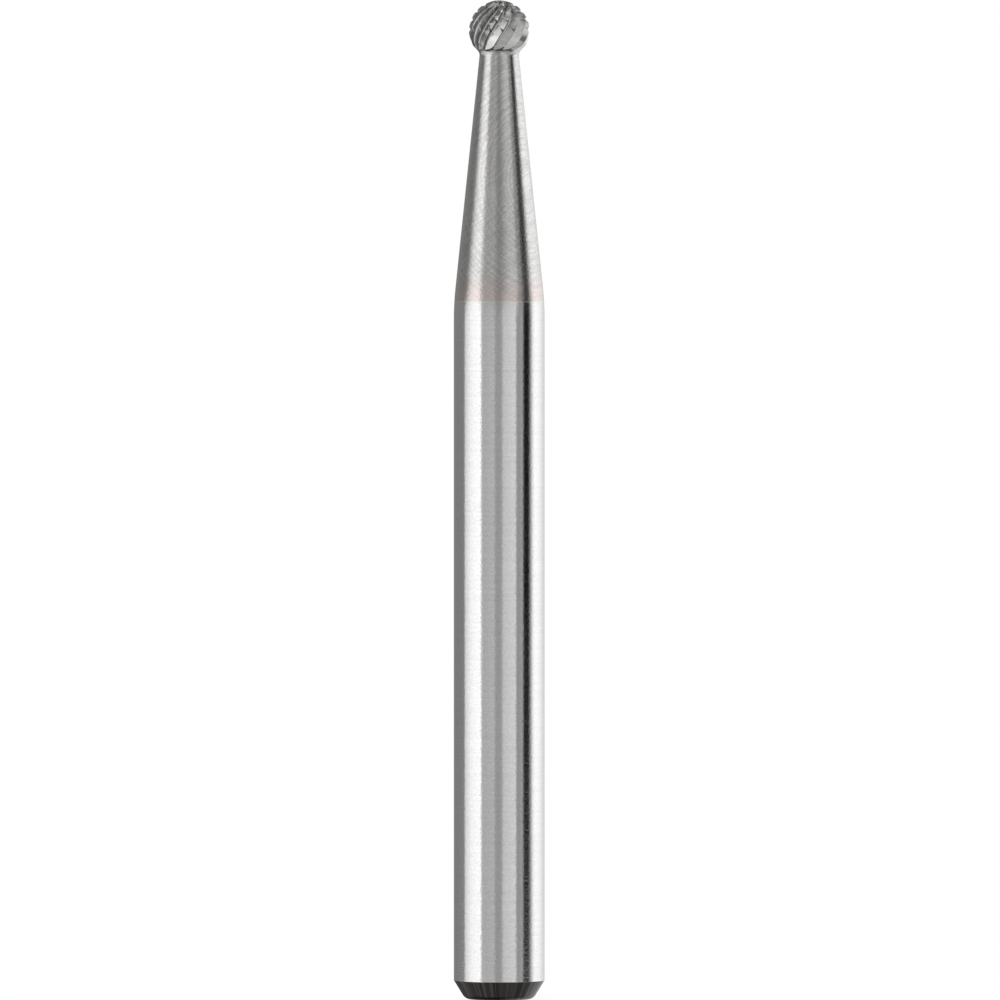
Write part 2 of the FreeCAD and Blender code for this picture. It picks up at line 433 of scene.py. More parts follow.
@dataclass(frozen=True)
class Flutes:
    """The spiral cuts that part the teeth.

    Attributes:
        count: number of teeth.
        columns: columns of the skin from one tooth to the next.
        rake_columns: columns across the steep face in front of a cutting edge.
        depth: depth of a cut on the equator.
        back_depth: its depth at the back corner.
        fillet: how far the rounding fills the bottom of a cut.
        turn: degrees of azimuth for each degree that a cut climbs.
        phase: azimuth of the first cutting edge on the equator.
        nose_angle: polar angle at which the cuts begin.
        full_depth_angle: polar angle from which they are as deep as on the equator.
        back_corner_angle: polar angle of the back corner.
        short_step: every so many teeth one ends before the nose.
        short_from: polar angle at which a short tooth starts to rise from the cut.
        short_to: polar angle from which it stands as high as the others.
    """

    count: int = 15
    columns: int = 28
    rake_columns: int = 4
    depth: float = 0.15
    back_depth: float = 0.09
    fillet: float = 0.024
    turn: float = 0.62
    phase: float = 6.7
    nose_angle: float = 6.0
    full_depth_angle: float = 36.0
    back_corner_angle: float = 120.0
    short_step: int = 3
    short_from: float = 20.0
    short_to: float = 48.0

    @property
    def pitch(self) -> float:
        """Azimuth from one tooth to the next."""
        return 360.0 / self.count

    def azimuth(self, column: Array, polar: Array) -> Array:
        """Azimuth of a column, which leans with the cutting edges as it climbs."""
        return self.phase + column * self.pitch / self.columns + self.turn * (EQUATOR - polar)

    def on_rake(self, column: Array) -> Array:
        """Whether the cell right of a column is on a rake face, above its rounded foot."""
        return column % self.columns < self.rake_columns - 1

    def reach(self, column: Array, polar: Array, ball: float) -> Array:
        """How far the cut blank reaches from the centre of the ball.

        Across a tooth the skin is two straight lines: down the rake face from a cutting
        edge to the foot, and up the land from the foot to the next edge. The foot lies at
        the ball's radius less the depth, and the edges on the ball, apart from the short
        teeth, which sink to the depth of the foot towards the nose.

        Args:
            column: column numbers, the first one on a cutting edge.
            polar: polar angles.
            ball: radius of the ball.

        Returns:
            The reach for each column and polar angle.
        """
        fading = smooth(polar, EQUATOR, self.back_corner_angle)
        taken = self.depth * smooth(polar, self.nose_angle, self.full_depth_angle)
        taken = taken - (self.depth - self.back_depth) * fading
        sunk = 1.0 - smooth(polar, self.short_from, self.short_to)
        tooth, across = np.divmod(column, self.columns)
        step = self.pitch / self.columns
        here = ball - taken * sunk * (tooth % self.short_step == 0)
        following = ball - taken * sunk * ((tooth + 1) % self.count % self.short_step == 0)
        foot = (ball - taken, self.rake_columns * step)
        rake = polar_line(across * step, (here, 0.0), foot)
        land = polar_line(across * step, foot, (following, self.pitch))
        filled = rounded_valley(rake, land, self.fillet * taken / self.depth)
        return np.minimum(filled, ball)


@dataclass(frozen=True)
class Grooves:
    """The cross cuts that notch the teeth, leaning against the flutes.

    Widths are in columns of the skin, so that a groove runs along the cells' diagonals.

    Attributes:
        depth: depth of a groove below the ball.
        rim: how far above the ball its walls are measured.
        steep: columns from its bottom to the rim of its steep wall.
        gentle: columns from its bottom to the rim of its gentle wall.
        lead: columns from a cutting edge to a groove's bottom, on the equator.
        turn: degrees of azimuth for each degree that a groove climbs, the other way round.
        run_in: polar angles between which the grooves grow deep behind the nose.
        run_out: polar angles between which they end.
        bottom: how many columns off its bottom a groove still counts as at its bottom.
    """

    depth: float = 0.11
    rim: float = 0.03
    steep: float = 3.0
    gentle: float = 13.9
    lead: float = -1.0
    turn: float = 0.64
    run_in: Range = (8.0, 32.0)
    run_out: Range = (92.0, 104.0)
    bottom: float = 0.01

    def offset(self, column: Array, climbed: Array, columns: int) -> Array:
        """Columns from the nearest groove's bottom, negative on its steep side.

        Args:
            column: column numbers of the skin.
            climbed: rows above the equator.
            columns: columns from one groove to the next.

        Returns:
            The offset for each column and row.
        """
        start = (columns + self.steep - self.gentle) / 2.0
        return (column + climbed - self.lead + start) % columns - start

    def reach(self, offset: Array, polar: Array, ball: float) -> Array:
        """How far the grooves leave metal standing.

        A groove's section is a V: from its bottom the reach grows in a straight line to the
        rim, over few columns on one side and many on the other.

        Args:
            offset: columns from the groove's bottom.
            polar: polar angles.
            ball: radius of the ball.

        Returns:
            The reach for each offset and polar angle.
        """
        depth = np.minimum(smooth(polar, *self.run_in), 1.0 - smooth(polar, *self.run_out))
        height = np.where(offset < 0.0, -offset / self.steep, offset / self.gentle)
        return ball + self.rim - (self.depth + self.rim) * depth * (1.0 - height)


@dataclass
class BurrHead:
    """The carbide ball with its teeth, and the tapered neck down to the braze.

    Attributes:
        blank: the ground tool that the head is cut from.
        finish: its ground carbide.
        flutes: its spiral cuts.
        grooves: its cross cuts.
        crossed_end: polar angle past which no groove reaches.
        first_row: rows above the equator at which the nose is closed.
        plain_rows: rows from the grooves' end to the ends of the teeth.
        back_rows: rows down the cone behind the ball.
        runout_share: share of the back cone that the flutes aim for as they run out.
        runout_lift: how far above the cone that aim lies.
        runout_start: how far behind the back corner the run-out starts, in degrees.
        search_margin: how far before the back corner the search for the teeth's ends starts.
        halvings: how often that search halves its span.
        crease: angle from which an edge stays sharp.
    """

    blank: Blank
    finish: "GroundCarbide"
    flutes: Flutes = field(default_factory=Flutes)
    grooves: Grooves = field(default_factory=Grooves)
    crossed_end: float = 104.5
    first_row: int = 130
    plain_rows: int = 30
    back_rows: int = 5
    runout_share: float = 0.8
    runout_lift: float = 0.05
    runout_start: float = 1.0
    search_margin: float = 2.0
    halvings: int = 40
    crease: float = 22.0

    def polar_of(self, radius: Array | float, height: Array | float) -> Polar:
        """Reach and polar angle of a point that is given by radius and height."""
        above = height - self.blank.ball_height
        return np.hypot(radius, above), np.degrees(np.arctan2(radius, above))

    def cone_ends(self) -> list[Polar]:
        """Reach and polar angle of the upper and the lower end of the cone behind the ball."""
        ends = (self.blank.back_corner, self.blank.neck_root)
        return [self.polar_of(end.radius, end.height) for end in ends]

    def toothed_reach(self, column: Array, polar: Array) -> Array:
        """Reach of the fluted ball, and of the flutes' straight run-out behind it.

        Past the back corner each column runs straight to one ring that lies a little above
        the cone behind the ball, square to it: as far out as up, because it slopes by 45
        degrees.

        Args:
            column: column numbers.
            polar: polar angles.

        Returns:
            The reach for each column and polar angle.
        """
        corner, root = self.blank.back_corner, self.blank.neck_root
        leave = self.cone_ends()[0][1] + self.runout_start
        lift = self.runout_lift / math.sqrt(2.0)
        aim = self.polar_of(
            corner.radius + (root.radius - corner.radius) * self.runout_share + lift,
            corner.height + (root.height - corner.height) * self.runout_share - lift,
        )
        ball = self.blank.ball_radius
        on_ball = self.flutes.reach(column, np.minimum(polar, leave), ball)
        behind = polar_line(polar, (self.flutes.reach(column, np.array(leave), ball), leave), aim)
        return np.where(polar > leave, behind, on_ball)

    def tooth_ends(self, column: Array) -> Array:
        """Polar angle at which each column meets the cone behind the ball.

        Found by halving, because the skin lies inside the cone before that angle and
        outside it after.

        Args:
            column: column numbers.

        Returns:
            The polar angle for each column.
        """
        low = np.full(column.shape, self.cone_ends()[0][1] - self.search_margin)
        high = np.full(column.shape, self.cone_ends()[1][1])
        for _ in range(self.halvings):
            middle = (low + high) / 2.0
            inside = self.toothed_reach(column, middle) < polar_line(middle, *self.cone_ends())
            low, high = np.where(inside, middle, low), np.where(inside, high, middle)
        return low

    def grooved_reach(self, column: Array, climbed: Array, polar: Array) -> Array:
        """Reach that the grooves leave at these columns, rows and polar angles."""
        offset = self.grooves.offset(column, climbed, self.flutes.columns)
        return self.grooves.reach(offset, polar, self.blank.ball_radius)

    def snapped(self, column: Array, climbed: Array, polar: Array) -> Array:
        """Column numbers of the crossed part, with its vertices drawn onto the grooves' rims.

        Where tooth and groove cross between two columns of a row, the nearer vertex moves
        to the crossing, which is read off a straight line between both. Cutting edges and
        groove bottoms keep theirs.

        Args:
            column: column numbers.
            climbed: rows above the equator.
            polar: polar angles, rows by columns.

        Returns:
            Column numbers, rows by columns.
        """
        gap = self.grooved_reach(column, climbed, polar) - self.toothed_reach(column, polar)
        beside = np.roll(gap, -1, axis=1)
        crossed = gap * beside < 0.0
        share = gap / np.where(crossed, gap - beside, 1.0)
        onwards = np.where(crossed & (share < 0.5), share, 0.0)
        backwards = np.roll(np.where(crossed & (share >= 0.5), share - 1.0, 0.0), 1, axis=1)
        offset = self.grooves.offset(column, climbed, self.flutes.columns)
        kept = (column % self.flutes.columns == 0) | (np.abs(offset) < self.grooves.bottom)
        return column + np.where(kept, 0.0, np.where(onwards > 0.0, onwards, backwards))

    def coarse_and_shaded_cells(self, column: Array, climbed: Array, polar: Array) -> Array:
        """1 for cells of the crossed part on a rake face or a groove's steep wall, which are ground
        coarser and take painted shade, else 0.

        Args:
            column: column numbers.
            climbed: rows above the equator.
            polar: polar angles, rows by columns.

        Returns:
            A share for each cell, one row fewer than there are angles.
        """
        middle, above = column + 0.5, climbed[:-1] - 0.5
        angle = (polar[:-1] + polar[1:]) / 2.0
        rake = np.broadcast_to(self.flutes.on_rake(column), angle.shape)
        cut = self.grooved_reach(middle, above, angle) < self.toothed_reach(middle, angle)
        steep = self.grooves.offset(middle, above, self.flutes.columns) < 0.0
        return (rake | (cut & steep)).astype(float)

    def shell(self) -> tuple[Shell, Array]:
        """The whole skin of the head, and how coarsely each of its cells is ground and how much
        painted shade it takes.

        The columns lean with the cutting edges, and each row of the crossed part climbs so
        far that a groove crosses one cell in it, so both kinds of cut run along edges. Each
        point is reach times (sin p sin a, -sin p cos a, cos p) from the centre of the ball,
        down to the rounding of the neck, and the turned outline from there on.

        Returns:
            The skin, closed at the nose and at the braze, and the cells' shares.
        """
        flutes, blank = self.flutes, self.blank
        column = np.arange(flutes.count * flutes.columns)[None]
        step = flutes.pitch / flutes.columns / (flutes.turn + self.grooves.turn)
        last_row = -math.ceil((self.crossed_end - EQUATOR) / step)
        climbed = np.arange(self.first_row, last_row - 1, -1)[:, None]
        crossed = np.broadcast_to(EQUATOR - climbed * step, (len(climbed), column.size))
        drawn = self.snapped(column, climbed, crossed)
        grooved = self.grooved_reach(drawn, climbed, crossed)
        reach = [np.minimum(self.toothed_reach(drawn, crossed), grooved)]
        ends = self.tooth_ends(column)
        share = np.linspace(0.0, 1.0, self.plain_rows + 1)[1:, None]
        plain = crossed[-1:] + (ends - crossed[-1:]) * share
        reach.append(self.toothed_reach(column, plain))
        outline = blank.span(blank.head_foot, blank.rounding_top)
        ring = self.polar_of(*outline[0])[1]
        back = ends + (ring - ends) * np.linspace(0.0, 1.0, self.back_rows + 1)[1:-1, None]
        reach.append(polar_line(back, *self.cone_ends()))
        polar, reach = np.concatenate([crossed, plain, back]), np.concatenate(reach)
        radius = reach * np.sin(np.radians(polar))
        height = blank.ball_height + reach * np.cos(np.radians(polar))
        below = np.broadcast_to(column, (len(polar) - len(climbed), column.size))
        toothed = around_axis(radius, flutes.azimuth(np.concatenate([drawn, below]), polar), height)
        neck = around_axis(outline[:, :1], flutes.azimuth(column, ring), outline[:, 1:])
        rings = np.concatenate([toothed, neck])
        # Painted shade: rake faces and steep groove walls get 1, so the carbide colours them dark
        # grey.
        coarse_and_shaded = np.zeros((len(rings) - 1, column.size))
        plain_start = len(climbed) - 1
        coarse_and_shaded[:plain_start] = self.coarse_and_shaded_cells(column, climbed, crossed)
        coarse_and_shaded[plain_start : plain_start + self.plain_rows] = flutes.on_rake(column)
        return Shell(rings, blank.length, blank.head_foot), coarse_and_shaded

    def build(self) -> bpy.types.Object:
        """The dressed head, riding on the tool and standing for its solid.

        Returns:
            The piece.
        """
        shell, coarse_and_shaded = self.shell()
        mesh = shell.mesh("burr_head", self.crease, coarse_and_shaded)
        piece = dressed("burr_head", mesh, self.finish.material())
        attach(piece, ROOT_BODY)
        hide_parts("carbide_head")
        return piece


@dataclass
class BrazeRing:
    """The thin ring of filler between the carbide and the steel.

    Attributes:
        blank: the ground tool that the ring is a slice of.
        finish: its filler.
    """

    blank: Blank
    finish: "BrazeFiller"

    def build(self) -> bpy.types.Object:
        """The dressed ring, riding on the tool and standing for its solid.

        Returns:
            The piece.
        """
        shell = self.blank.turned(self.blank.shank_top, self.blank.head_foot)
        piece = dressed("braze_ring", shell.mesh("braze_ring"), self.finish.material())
        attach(piece, ROOT_BODY)
        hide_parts("braze_joint")
        return piece


@dataclass
class Shank:
    """The ground steel shank with its chamfered, rounded end.

    Attributes:
        blank: the ground tool that the shank is a slice of.
        finish: its steel.
        crease: angle from which an edge stays sharp.
    """

    blank: Blank
    finish: "GroundSteel"
    crease: float = 15.0

    def build(self) -> bpy.types.Object:
        """The dressed shank, riding on the tool and standing for its solid.

        Returns:
            The piece.
        """
        shell = self.blank.turned(0.0, self.blank.shank_top)
        piece = dressed("shank", shell.mesh("shank", self.crease), self.finish.material())
        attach(piece, ROOT_BODY)
        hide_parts("steel_shank")
        return piece


@dataclass(frozen=True)
class Wire:
    """A socket's output that takes part in Python sums: each operator adds a Math node.

    Attributes:
        shader: the node tree that it belongs to.
        socket: the output.
    """

    shader: "Shader"
    socket: bpy.types.NodeSocket

    def maths(self, operation: str, *values: "Wire | float") -> "Wire":
        """A Math node on these values, this wire among them, in their order."""
        return self.shader.add("ShaderNodeMath", {"operation": operation}, dict(enumerate(values)))

    def __add__(self, other: "Wire | float") -> "Wire":
        """This wire plus a wire or a number."""
        return self.maths("ADD", self, other)

    def __radd__(self, other: float) -> "Wire":
        """A number plus this wire."""
        return self.maths("ADD", other, self)

    def __sub__(self, other: "Wire | float") -> "Wire":
        """This wire less a wire or a number."""
        return self.maths("SUBTRACT", self, other)

    def __rsub__(self, other: float) -> "Wire":
        """A number less this wire."""
        return self.maths("SUBTRACT", other, self)

    def __mul__(self, other: "Wire | float") -> "Wire":
        """This wire times a wire or a number."""
        return self.maths("MULTIPLY", self, other)

    def __rmul__(self, other: float) -> "Wire":
        """A number times this wire."""
        return self.maths("MULTIPLY", other, self)

    def swing(self, reach: float) -> "Wire":
        """How far a noise is from its middle, which is 0.5, times a reach."""
        return (self - 0.5) * reach

    def step(self, start: float, end: float) -> "Wire":
        """Eased step of this wire's value.

        Args:
            start: value up to which the step is 0.
            end: value from which it is 1.

        Returns:
            The step.
        """
        settings = {"interpolation_type": "SMOOTHSTEP"}
        sockets = {"Value": self, "From Min": start, "From Max": end}
        return self.shader.add("ShaderNodeMapRange", settings, sockets)


class Shader:
    """Node tree of one material or world, to which nodes are added by plain calls."""

    def __init__(self, owner: bpy.types.Material | bpy.types.World) -> None:
        """Empties the node tree.

        Args:
            owner: the material or world that it belongs to.
        """
        owner.use_nodes = True
        self.tree = owner.node_tree
        self.tree.nodes.clear()

    def node(self, kind: str, settings: dict[str, Any], sockets: dict[Any, Any]) -> bpy.types.Node:
        """Adds a node.

        Args:
            kind: the node's type.
            settings: its properties, which are set first.
            sockets: values or wires for its inputs, by name or number.

        Returns:
            The node.
        """
        node = self.tree.nodes.new(kind)
        for name, value in settings.items():
            setattr(node, name, value)
        for name, value in sockets.items():
            if isinstance(value, Wire):
                self.tree.links.new(value.socket, node.inputs[name])
            else:
                node.inputs[name].default_value = value
        return node

    def add(
        self, kind: str, settings: dict[str, Any], sockets: dict[Any, Any], output: int | str = 0
    ) -> Wire:
        """Adds a node and returns one of its outputs as a wire."""
        return Wire(self, self.node(kind, settings, sockets).outputs[output])

    def place(self) -> Wire:
        """Object coordinates, in metres."""
        return self.add("ShaderNodeTexCoord", {}, {}, "Object")

    def height(self, place: Wire) -> Wire:
        """How far up a place lies, in metres."""
        return self.add("ShaderNodeSeparateXYZ", {}, {"Vector": place}, "Z")

    def scaled(self, vector: Wire, scale: Triple, turn: Triple = (0.0, 0.0, 0.0)) -> Wire:
        """A vector that is first turned about the axes and then stretched along them.

        Args:
            vector: the vector.
            scale: how far it is stretched along x, y and z.
            turn: angles about x, y and z.

        Returns:
            The stretched vector.
        """
        if any(turn):
            sockets = {"Vector": vector, "Rotation": [math.radians(angle) for angle in turn]}
            settings = {"rotation_type": "EULER_XYZ"}
            vector = self.add("ShaderNodeVectorRotate", settings, sockets)
        return self.add("ShaderNodeVectorMath", {"operation": "MULTIPLY"}, {0: vector, 1: scale})

    def tinted(self, share: Wire | float, first: Colour | Wire, second: Colour | Wire) -> Wire:
        """Two colours put together by a Mix node.

        Args:
            share: how much of the second colour counts.
            first: a colour or wire.
            second: a colour or wire.

        Returns:
            The mixed colour.
        """
        colours = [c if isinstance(c, Wire) else (*c, 1.0) for c in (first, second)]
        sockets = {0: share, 6: colours[0], 7: colours[1]}
        return self.add("ShaderNodeMix", {"data_type": "RGBA"}, sockets, 2)

    def finish(self, shade: Wire, roughness: Wire, relief: Wire, depth: float) -> None:
        """Ends the tree in bare metal whose normal follows a relief.

        Args:
            shade: colour of the metal.
            roughness: how far its reflections spread.
            relief: height of the relief.
            depth: what a height of 1 stands for, in metres.
        """
        bump = {"Height": relief, "Distance": depth, "Strength": 1.0}
        metal = {
            "Base Color": shade,
            "Metallic": 1.0,
            "Roughness": roughness,
            "Normal": self.add("ShaderNodeBump", {}, bump),
        }
        surface = self.add("ShaderNodeBsdfPrincipled", {}, metal)
        self.node("ShaderNodeOutputMaterial", {}, {"Surface": surface})


@dataclass(frozen=True)
class Marks:
    """One kind of fine mark on the metal, as a noise says.

    Attributes:
        scale: cells of the noise to the metre along x, y and z.
        detail: octaves of the noise.
        roughness: how much a finer octave counts.
        turn: angles about x, y and z by which its axes are turned.
        edges: noise at which a mark sets in and at which it is full.
        shade: how much a full mark colours the metal.
        height: how much the noise counts in the relief.
    """

    scale: Triple
    detail: float = 3.0
    roughness: float = 0.5
    turn: Triple = (0.0, 0.0, 0.0)
    edges: Range = (0.4, 0.6)
    shade: float = 1.0
    height: float = 1.0

    def noise(self, vector: Wire) -> Wire:
        """The marks' noise about 0.5 over a vector."""
        scaled = vector.shader.scaled(vector, self.scale, self.turn)
        return self.texture("3D", "Vector", scaled)

    def texture(self, dimensions: str, socket: str, where: Wire) -> Wire:
        """A noise texture of this detail and roughness.

        Args:
            dimensions: how many dimensions the noise has.
            socket: the socket that says where it is read.
            where: the wire for that socket.

        Returns:
            The noise.
        """
        sockets = {socket: where, "Scale": 1.0, "Detail": self.detail, "Roughness": self.roughness}
        return where.shader.add("ShaderNodeTexNoise", {"noise_dimensions": dimensions}, sockets)

    def shown(self, noise: Wire) -> Wire:
        """How much the marks colour the metal where their noise is as given."""
        return noise.step(*self.edges) * self.shade


@dataclass(frozen=True)
class Arcs(Marks):
    """Marks in arcs about a point, as the rim of a grinding wheel leaves them.

    Only the first number of their scale counts.

    Attributes:
        centre: the point, in metres.
    """

    centre: Triple = (0.0, 0.0, 0.0)

    def noise(self, vector: Wire) -> Wire:
        """Noise about 0.5 that changes only with the distance from the centre.

        Args:
            vector: object coordinates.

        Returns:
            The noise.
        """
        settings, ends = {"operation": "DISTANCE"}, {0: vector, 1: self.centre}
        away = vector.shader.add("ShaderNodeVectorMath", settings, ends, "Value")
        return self.texture("1D", "W", away * self.scale[0])


@dataclass(frozen=True)
class Metal:
    """Bare ground metal under its marks.

    Attributes:
        colour: the bare metal.
        furrow: the metal in the grinding marks.
        kinds: the kinds of marks, from the coarsest to the finest.
    """

    colour: Colour
    furrow: Colour
    kinds: tuple[Marks, ...]

    def marked(self, place: Wire, strength: Wire | float = 1.0) -> tuple[Wire, Wire, Wire]:
        """The metal with each kind of marks laid over the one before.

        Args:
            place: object coordinates.
            strength: how strongly the marks show.

        Returns:
            Its colour, its relief and the noise of the coarsest marks.
        """
        noises = [marks.noise(place) for marks in self.kinds]
        shade, relief = self.colour, 0.0
        for marks, noise in zip(self.kinds, noises):
            shade = place.shader.tinted(marks.shown(noise) * strength, shade, self.furrow)
            relief = relief + noise * marks.height
        return shade, relief, noises[0]


@dataclass(frozen=True)
class GroundSteel:
    """Centreless-ground steel: bright, with fine lines round the shank, a few pits, and a painted
    dark reflection on the chamfer.

    Attributes:
        blank: the tool, which says where the chamfer ends.
        metal: the bare steel with its lines and grain.
        roughness: how far its reflections spread.
        unevenness: how far that varies with the lines and from place to place.
        patches: where it does.
        relief: depth of the grinding marks, in metres.
        line: height of a faint line that runs right round, in millimetres.
        line_edges: how far from its middle it starts to fade and is gone, in metres.
        line_shade: how much of its colour shows.
        line_colour: its colour.
        pit_scale: cells to the metre, each with one pit.
        pit_edges: how far from its middle a pit starts to fade and is gone, in cells.
        pit_shade: how much of the pits' colour shows.
        pit_colour: their colour.
        chamfer_edges: how far above its edge the chamfer's dull finish and painted dark reflection
            start to fade and are gone, in metres.
        streaks_and_reflection: the coarse streaks that run down the chamfer, in its relief and as
            lighter bands of its painted reflection.
        painted_reflection_greys: the two greys of the chamfer's painted dark reflection, the
            lighter one along the streaks.
        dull_roughness: how far the chamfer's reflections spread.
    """

    blank: Blank
    metal: Metal = Metal((0.695, 0.695, 0.697), (0.45, 0.45, 0.452), (
        Marks((260.0, 260.0, 11000.0), 3.0, 0.6, edges=(0.3, 0.7), shade=0.12, height=0.4),
        Marks((13000.0, 13000.0, 15000.0), 2.0, 0.6, edges=(0.36, 0.64), shade=0.22),
    ))
    roughness: float = 0.12
    unevenness: float = 0.05
    patches: Marks = Marks((500.0, 500.0, 300.0))
    relief: float = 2.6e-6
    line: float = 20.8
    line_edges: Range = (8.0e-6, 2.6e-5)
    line_shade: float = 0.1
    line_colour: Colour = (0.3, 0.3, 0.3)
    pit_scale: float = 900.0
    pit_edges: Range = (0.018, 0.04)
    pit_shade: float = 0.6
    pit_colour: Colour = (0.12, 0.115, 0.11)
    chamfer_edges: Range = (-8.0e-6, 4.0e-6)
    streaks_and_reflection: Marks = Marks((15.0, 15.0, 0.0), 4.0, 0.65, edges=(0.35, 0.7), height=2.0)
    painted_reflection_greys: tuple[Colour, Colour] = ((0.036, 0.0341, 0.0322), (0.135, 0.13, 0.125))
    dull_roughness: float = 0.32

    def pits(self, place: Wire) -> Wire:
        """Small round pits, one in each cell of a Voronoi texture.

        Args:
            place: object coordinates.

        Returns:
            1 in a pit and 0 outside.
        """
        cells = place.shader.scaled(place, (self.pit_scale, self.pit_scale, self.pit_scale))
        sockets = {"Vector": cells, "Scale": 1.0}
        away = place.shader.add("ShaderNodeTexVoronoi", {"feature": "F1"}, sockets, "Distance")
        return 1.0 - away.step(*self.pit_edges)

    def chamfer(self, place: Wire) -> tuple[Wire, Wire]:
        """Where the chamfer's dull finish and painted dark reflection lie, and the noise of its
        streaks.

        The streaks vary only with the direction from the axis, so they run straight down.

        Args:
            place: object coordinates.

        Returns:
            1 on the chamfer and 0 on the shank, and the noise.
        """
        shader = place.shader
        edge = self.blank.chamfer_length * MM
        coarse_and_shaded = 1.0 - shader.height(place).step(*(edge + above for above in self.chamfer_edges))
        flat = shader.scaled(place, (1.0, 1.0, 0.0))
        direction = shader.add("ShaderNodeVectorMath", {"operation": "NORMALIZE"}, {0: flat})
        return coarse_and_shaded, self.streaks_and_reflection.noise(direction)

    def material(self) -> bpy.types.Material:
        """The finish as a material.

        Returns:
            The material.
        """
        material = bpy.data.materials.new("ground_steel")
        shader = Shader(material)
        place = shader.place()
        shade, relief, rings = self.metal.marked(place)
        pit = self.pits(place)
        coarse_and_shaded, streaks_and_reflection = self.chamfer(place)
        from_line = shader.height(place) - self.line * MM
        line = 1.0 - from_line.maths("ABSOLUTE", from_line).step(*self.line_edges)
        shade = shader.tinted(line * self.line_shade, shade, self.line_colour)
        shade = shader.tinted(pit * self.pit_shade, shade, self.pit_colour)
        # Painted reflection: the chamfer is coloured near black, lighter along the streaks, for the
        # dark it mirrors.
        shade = shader.tinted(coarse_and_shaded, shade, shader.tinted(self.streaks_and_reflection.shown(streaks_and_reflection), *self.painted_reflection_greys))
        patches = self.patches.noise(place)
        bright = self.roughness + patches.swing(self.unevenness) + rings.swing(self.unevenness)
        roughness = bright + (self.dull_roughness - bright) * coarse_and_shaded
        relief = relief - pit + streaks_and_reflection * coarse_and_shaded * self.streaks_and_reflection.height
        shader.finish(shade, roughness, relief, self.relief)
        return material


@dataclass(frozen=True)
class GroundCarbide:
    """Ground carbide: greyer than steel, with crossing grinding lines, a heat tint, and painted
    shade in the teeth's hollows.

    Attributes:
        blank: the tool, which says where the tint starts and where the teeth do.
        metal: the bare carbide with its arcs, crossing lines and grain.
        painted_shade_colour: painted shade on the rake faces and the grooves' steep walls, where
            the teeth cast their shadow.
        tint: what the heat of brazing turned it towards.
        tint_share: how much of the tint shows where it is full.
        tint_full: how far up from the braze the tint is full, in millimetres.
        tint_height: how far up it reaches, in millimetres.
        raggedness: how far its edge wanders up and down, in metres.
        patches: where the tint's edge and the roughness vary.
        roughness: how far its reflections spread on the taper.
        teeth_roughness: the same on the ball.
        coarse_roughness: the same on the rake faces and the grooves' steep walls.
        patch_unevenness: how far the roughness varies from place to place.
        arc_unevenness: how far it varies with the arcs.
        teeth_fade: how far below the ball's back corner the teeth's finish sets in, in metres.
        teeth_fineness: share of the marks that is gone on the teeth.
        relief: depth of the grinding marks, in metres.
    """

    blank: Blank
    metal: Metal = Metal((0.665, 0.66, 0.652), (0.4, 0.396, 0.392), (
        Arcs((9000.0, 9000.0, 9000.0), 3.0, 0.65, shade=0.34, height=0.25,
             centre=(0.0022, -0.0015, 0.0272)),
        Marks((1200.0, 1200.0, 11000.0), 3.0, 0.6, (0.0, 38.0, 0.0), shade=0.3, height=0.35),
        Marks((14000.0, 14000.0, 14000.0), 2.0, 0.7, edges=(0.38, 0.62), shade=0.35, height=0.7),
    ))
    painted_shade_colour: Colour = (0.24, 0.239, 0.238)
    tint: Colour = (0.66, 0.56, 0.517)
    tint_share: float = 0.6
    tint_full: float = 0.1
    tint_height: float = 1.15
    raggedness: float = 0.0007
    patches: Marks = Marks((1400.0, 1400.0, 900.0))
    roughness: float = 0.17
    teeth_roughness: float = 0.23
    coarse_roughness: float = 0.36
    patch_unevenness: float = 0.08
    arc_unevenness: float = 0.06
    teeth_fade: float = 3.0e-5
    teeth_fineness: float = 0.6
    relief: float = 5.5e-6

    def material(self) -> bpy.types.Material:
        """The finish as a material.

        Returns:
            The material.
        """
        material = bpy.data.materials.new("ground_carbide")
        shader = Shader(material)
        place = shader.place()
        height, patches = shader.height(place), self.patches.noise(place)
        foot = self.blank.head_foot * MM
        ragged = height + patches.swing(self.raggedness)
        heat = 1.0 - ragged.step(foot + self.tint_full * MM, foot + self.tint_height * MM)
        corner = self.blank.back_corner.height * MM
        teeth = height.step(corner - self.teeth_fade, corner)
        strength = 1.0 - teeth * self.teeth_fineness
        coarse_and_shaded = shader.add("ShaderNodeAttribute", {"attribute_name": "coarse_and_shaded"}, {}, "Fac")
        shade, relief, arcs = self.metal.marked(place, strength)
        shade = shader.tinted(heat * self.tint_share, shade, self.tint)
        # Painted shade: rake faces and steep groove walls are coloured dark grey for the teeth's
        # shadow.
        shade = shader.tinted(coarse_and_shaded, shade, self.painted_shade_colour)
        roughness = self.roughness + (self.teeth_roughness - self.roughness) * teeth
        roughness = roughness + (self.coarse_roughness - roughness) * coarse_and_shaded
        roughness = roughness + patches.swing(self.patch_unevenness)
        roughness = roughness + arcs.swing(self.arc_unevenness)
        shader.finish(shade, roughness, relief * strength, self.relief)
        return material


